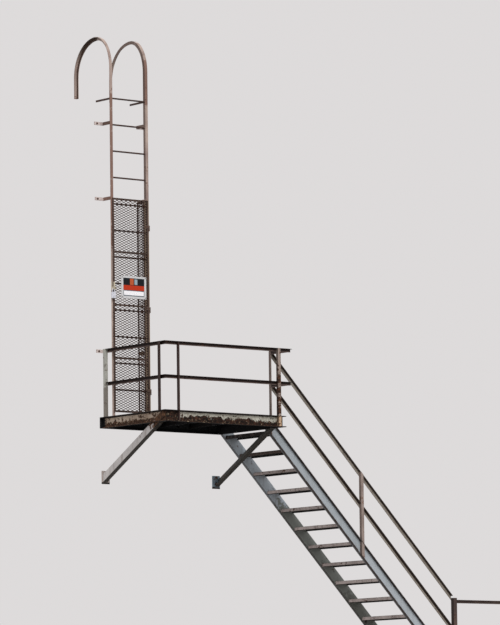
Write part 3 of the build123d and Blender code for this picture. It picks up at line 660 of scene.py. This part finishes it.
def notice_print():
    """Return the faded print of the notice, laid out on the plate's own box."""
    material, tree, shader = new_material("notice_print")
    place = add_node(tree, "ShaderNodeTexCoord")["Object"]
    axes = add_node(tree, "ShaderNodeSeparateXYZ", {"Vector": place})
    shares = []
    for axis in (0, 2):
        span = {"Value": axes[axis], "From Min": notice_low[axis], "From Max": notice_high[axis]}
        shares.append(add_node(tree, "ShaderNodeMapRange", span, clamp=False)[0])
    coats = []
    for (left_side, right_side, bottom, top), ink in panels:
        inside = None
        for share, start, soft in (
            (shares[0], left_side, 0.012),
            (shares[0], right_side, -0.012),
            (shares[1], bottom, 0.015),
            (shares[1], top, -0.015),
        ):
            edge = {"Value": share, "From Min": start, "From Max": start + soft}
            edge = add_node(tree, "ShaderNodeMapRange", edge)[0]
            if inside is not None:
                edge = (inside, edge)
                edge = add_node(tree, "ShaderNodeMath", edge, operation="MULTIPLY")[0]
            inside = edge
        coats.append((inside, linear(ink)))
    worn = blotches(tree, place, wear_cells, 0.6, 0.72, detail=7.0, roughness=0.7)
    worn = add_node(tree, "ShaderNodeMath", (worn, 0.3), operation="MULTIPLY")[0]
    coats.append((worn, linear("8d8682")))
    tree.links.new(coated(tree, linear("c9cacb"), coats), shader.inputs["Base Color"])
    shader.inputs["Roughness"].default_value = 0.5
    shader.inputs["Specular IOR Level"].default_value = 0.2
    return material


# Screen-printed ink on a pale base, bleached and a little worn, with a low sheen
paint_nodes(notice_print(), "notice_plate")

# Bolts: hexagon nuts on washers over the anchors, the brackets, the base plates, the hinge
# leaves and the notice. They are mild steel left unpainted and gone an even brown, with a
# little metal still showing.
bolt_rust = plated_steel("bolt_rust", "6f6a66", "4d4541", "5f4131", 0.9)


def bolt_tree():
    """Return the tree that stands a washer, a nut and a stud end on every point."""
    tree, given = start_tree(
        "bolts_on_points",
        (
            ("Washer Radius", "Float"),
            ("Washer Depth", "Float"),
            ("Nut Radius", "Float"),
            ("Nut Depth", "Float"),
            ("Stud Radius", "Float"),
            ("Stud Depth", "Float"),
            ("Material", "Material"),
        ),
    )
    discs = []
    for label, corners in (("Washer", 20), ("Nut", 6), ("Stud", 12)):
        radius, depth = given[f"{label} Radius"], given[f"{label} Depth"]
        disc = {"Vertices": corners, "Radius": radius, "Depth": depth}
        disc = add_node(tree, "GeometryNodeMeshCylinder", disc)[0]
        lift = {0: (0, 0, 0.5), "Scale": depth}
        lift = add_node(tree, "ShaderNodeVectorMath", lift, operation="SCALE")[0]
        raised = {"Geometry": disc, "Translation": lift}
        discs.append(add_node(tree, "GeometryNodeTransform", raised)[0])
    bolt = add_node(tree, "GeometryNodeJoinGeometry", {0: discs})[0]
    turn = {"Name": "turn"}
    turn = add_node(tree, "GeometryNodeInputNamedAttribute", turn, data_type="FLOAT_VECTOR")[0]
    placed = {"Points": given["Geometry"], "Instance": bolt, "Rotation": turn}
    end_tree(tree, given, add_node(tree, "GeometryNodeInstanceOnPoints", placed)[0])
    return tree


bolts_on_points = bolt_tree()


def bolts(name, body, places, washer_radius, material=bolt_rust):
    """Put a bolt end at each place, pointing along its direction, in scale to its washer."""
    base = bpy.data.meshes.new(name)
    base.from_pydata([place for place, direction in places], [], [])
    turns = base.attributes.new("turn", "FLOAT_VECTOR", "POINT")
    for entry, (place, direction) in zip(turns.data, places):
        entry.vector = Vector(direction).to_track_quat("Z", "Y").to_euler()
    values = {
        "Washer Radius": washer_radius,
        "Washer Depth": 0.18 * washer_radius,
        "Nut Radius": 0.88 * washer_radius,
        "Nut Depth": 0.95 * washer_radius,
        "Stud Radius": 0.48 * washer_radius,
        "Stud Depth": 1.35 * washer_radius,
        "Material": material,
    }
    return plain_mesh(name, base, bolts_on_points, values, body)


outward, left, right, upward = (0, -1, 0), (-1, 0, 0), (1, 0, 0), (0, 0, 1)
plate_half = 0.055
anchor_rises = (0.056, 0.129)
plate_anchors = [
    ((x, plate_low.y, plate_low.z + rise), outward)
    for x in (plate_low.x + plate_half, plate_high.x - plate_half)
    for rise in anchor_rises
]
bolts("wall_anchor_nuts", "stair", plate_anchors, washer_radius=0.015)
# The ledger's nuts carry the same near-black painted shade as the frame's inside
ledger_face = -0.005
ledger_places = (-0.700, -0.250, 0.250, 0.700)
ledger_anchors = [((x, ledger_face, 0), outward) for x in ledger_places]
bolts("ledger_anchor_nuts", "stair", ledger_anchors, washer_radius=0.015, material=bearer_paint)

bracket_low, bracket_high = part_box("ladder_wall_brackets")
bracket_half, bracket_middle = 0.019, 2.5755
bracket_levels = (bracket_low.z + bracket_half, bracket_middle, bracket_high.z - bracket_half)
foot_bolt, foot_thick, arm_out = 0.035, 0.008, 0.124
side_leg = -0.163
bracket_bolts = []
for level in bracket_levels:
    bracket_bolts.append(((bracket_low.x + foot_bolt, -foot_thick, level), outward))
    bracket_bolts.append(((bracket_high.x - foot_bolt, -foot_thick, level), outward))
    bracket_bolts.append(((bracket_low.x + arm_out - foot_thick, side_leg, level), left))
    bracket_bolts.append(((bracket_high.x - arm_out + foot_thick, side_leg, level), right))
strap_low, strap_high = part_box("roof_straps")
strap_level = (strap_low.z + strap_high.z) / 2
bracket_bolts.append(((strap_low.x, side_leg, strap_level), left))
bracket_bolts.append(((strap_high.x, side_leg, strap_level), right))
bolts("ladder_bracket_bolts", "stair", bracket_bolts, washer_radius=0.011)

post_low, post_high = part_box("lower_posts")
post_middle = (post_low.y + post_high.y) / 2
base_size, base_thick = 0.130, 0.010
base_rows, base_sides = (0.022, 0.106), (-0.048, 0.048)
base_bolts = [
    ((base_left + along, post_middle + across, post_low.z + base_thick), upward)
    for base_left in (post_low.x, post_high.x - base_size)
    for along in base_rows
    for across in base_sides
]
bolts("base_plate_nuts", "stair", base_bolts, washer_radius=0.012)

leaf_low, leaf_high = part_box("door_hinge_leaves")
leaf_half, leaf_thick, leaf_rows = 0.016, 0.004, (0.010, 0.028)
leaf_middles = (leaf_low.z + leaf_half, (leaf_low.z + leaf_high.z) / 2, leaf_high.z - leaf_half)
leaf_bolts = [
    ((leaf_low.x + along, door_low.y - leaf_thick, middle), outward)
    for middle in leaf_middles
    for along in leaf_rows
]
bolts("hinge_leaf_bolts", "guard_door", leaf_bolts, washer_radius=0.0055)

notice_inset = 0.014
notice_bolts = [
    ((x, notice_low.y, z), outward)
    for x in (notice_low.x + notice_inset, notice_high.x - notice_inset)
    for z in (notice_low.z + notice_inset, notice_high.z - notice_inset)
]
bolts("notice_fixings", "guard_door", notice_bolts, washer_radius=0.005)

# Weld beads: stick welds of mild steel laid where the treads meet the stringers and the
# rungs meet the ladder's rails, left lumpy and painted over with the rest.


def bead_tree():
    """Return the tree that strings overlapping lumps along every edge."""
    tree, given = start_tree(
        "beads_on_edges",
        (("Spacing", "Float"), ("Radius", "Float"), ("Seed", "Int"), ("Material", "Material")),
    )
    curve = add_node(tree, "GeometryNodeMeshToCurve", {"Mesh": given["Geometry"]})[0]
    steps = {"Curve": curve, "Length": given["Spacing"]}
    steps = add_node(tree, "GeometryNodeResampleCurve", steps, mode="LENGTH")[0]
    lump = {"Radius": given["Radius"], "Subdivisions": 1}
    lump = add_node(tree, "GeometryNodeMeshIcoSphere", lump)[0]
    # Inputs 2 and 3 are the least and greatest size, and output 1 the number between them
    sizes = {2: 0.8, 3: 1.2, "Seed": given["Seed"]}
    sizes = add_node(tree, "FunctionNodeRandomValue", sizes, data_type="FLOAT")[1]
    lumps = {"Points": steps, "Instance": lump, "Scale": sizes}
    end_tree(tree, given, add_node(tree, "GeometryNodeInstanceOnPoints", lumps)[0])
    return tree


beads_on_edges = bead_tree()


def weld(name, lines, radius, material, seed):
    """Lay beads along straight lines given by their two ends."""
    base = bpy.data.meshes.new(name)
    corners = [corner for line in lines for corner in line]
    base.from_pydata(corners, [(i, i + 1) for i in range(0, len(corners), 2)], [])
    values = {"Spacing": 1.3 * radius, "Radius": radius, "Seed": seed, "Material": material}
    return plain_mesh(name, base, beads_on_edges, values, "stair")


tread_lines = []
bend = 0.009  # the outer radius of the treads' bends
for name in tread_names:
    low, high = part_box(name)
    for y in (low.y, high.y):
        tread_lines.append(((low.x + bend, y, high.z), (high.x - bend, y, high.z)))
        tread_lines.append(((low.x, y, low.z + bend), (low.x, y, high.z - bend)))
weld("tread_welds", tread_lines, 0.0026, tread_paint, seed=3)

rung_low, rung_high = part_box("ladder_rungs")
rung_radius = 0.0095
rung_count = 12
rung_pitch = (rung_high.z - rung_low.z - 2 * rung_radius) / (rung_count - 1)
rung_place = (rung_low.y + rung_high.y) / 2
ring_steps = 8
rung_lines = []
for index in range(rung_count):
    middle = rung_low.z + rung_radius + index * rung_pitch
    ring = []
    for step in range(ring_steps):
        angle = 2 * math.pi * step / ring_steps
        across, above = rung_radius * math.cos(angle), rung_radius * math.sin(angle)
        ring.append((rung_place + across, middle + above))
    for x in (rung_low.x, rung_high.x):
        for step in range(ring_steps):
            rung_lines.append(((x, *ring[step]), (x, *ring[step - 1])))
weld("rung_welds", rung_lines, 0.0022, ladder_paint, seed=5)

# Stage, light and camera: a plain pale floor at the stair's foot, a soft overcast sky with
# a weak sun from the upper left, and the photograph's own low, distant viewpoint.
bpy.ops.mesh.primitive_plane_add(size=1)
floor = bpy.context.object
floor.name = "floor"
floor_width, floor_middle = 14.0, 2.0
for vertex in floor.data.vertices:
    along, back, _ = vertex.co
    vertex.co = (along * floor_width + floor_middle, back * floor_width, cad_box[0].z)
# Smooth matt board, pale and without sheen
floor_material, _, floor_shader = new_material("pale_floor")
floor_shader.inputs["Base Color"].default_value = linear("d9d5d2")
floor_shader.inputs["Roughness"].default_value = 0.9
floor.data.materials.append(floor_material)

world = bpy.data.worlds.new("overcast")
world.use_nodes = True
bpy.context.scene.world = world
sky_tree = world.node_tree
sky = next(n for n in sky_tree.nodes if n.type == "BACKGROUND")
sky.inputs["Color"].default_value = linear("f2efef")
# It lights the object in full from above and by a third from below. Where the camera, gloss
# or glass sees it, it is one plain pale tone.
height = add_node(sky_tree, "ShaderNodeTexCoord")["Generated"]
height = add_node(sky_tree, "ShaderNodeSeparateXYZ", {"Vector": height})[2]
light = {"Value": height, "From Min": -0.25, "From Max": 0.25, "To Min": 0.30, "To Max": 1.0}
light = add_node(sky_tree, "ShaderNodeMapRange", light)[0]
rays = add_node(sky_tree, "ShaderNodeLightPath")
seen = rays["Is Camera Ray"]
for kind in ("Is Glossy Ray", "Is Transmission Ray"):
    seen = add_node(sky_tree, "ShaderNodeMath", (seen, rays[kind]), operation="ADD")[0]
strength = {0: seen, 2: light, 3: 0.82}
strength = add_node(sky_tree, "ShaderNodeMix", strength, data_type="FLOAT")[0]
sky_tree.links.new(strength, sky.inputs["Strength"])

sun_data = bpy.data.lights.new("hazy_sun", "SUN")
sun_data.energy = 1.5
sun_data.angle = math.radians(25)
sun = bpy.data.objects.new("hazy_sun", sun_data)
sunlight = Vector((0.35, 0.90, -0.70))
sun.rotation_euler = sunlight.to_track_quat("-Z", "Y").to_euler()
bpy.context.scene.collection.objects.link(sun)

viewpoint = (-30.831, -40.291, -4.316)
yaw, pitch, roll = (math.radians(angle) for angle in (38.605, 6.322, -0.730))
reach = math.cos(pitch)
ahead = Vector((math.sin(yaw) * reach, math.cos(yaw) * reach, math.sin(pitch)))
level_right = Vector((math.cos(yaw), -math.sin(yaw), 0))
level_up = level_right.cross(ahead)
camera_right = level_right * math.cos(roll) + level_up * math.sin(roll)
camera_up = level_up * math.cos(roll) - level_right * math.sin(roll)
facing = Matrix((camera_right, camera_up, -ahead)).transposed().to_4x4()
camera_data = bpy.data.cameras.new("camera")
camera_data.sensor_width = 36.0
camera_data.lens = 254.63
camera_data.clip_end = 500.0
camera = bpy.data.objects.new("camera", camera_data)
camera.matrix_world = Matrix.Translation(viewpoint) @ facing
bpy.context.scene.collection.objects.link(camera)
bpy.context.scene.camera = camera
bpy.context.scene.view_settings.view_transform = "Standard"
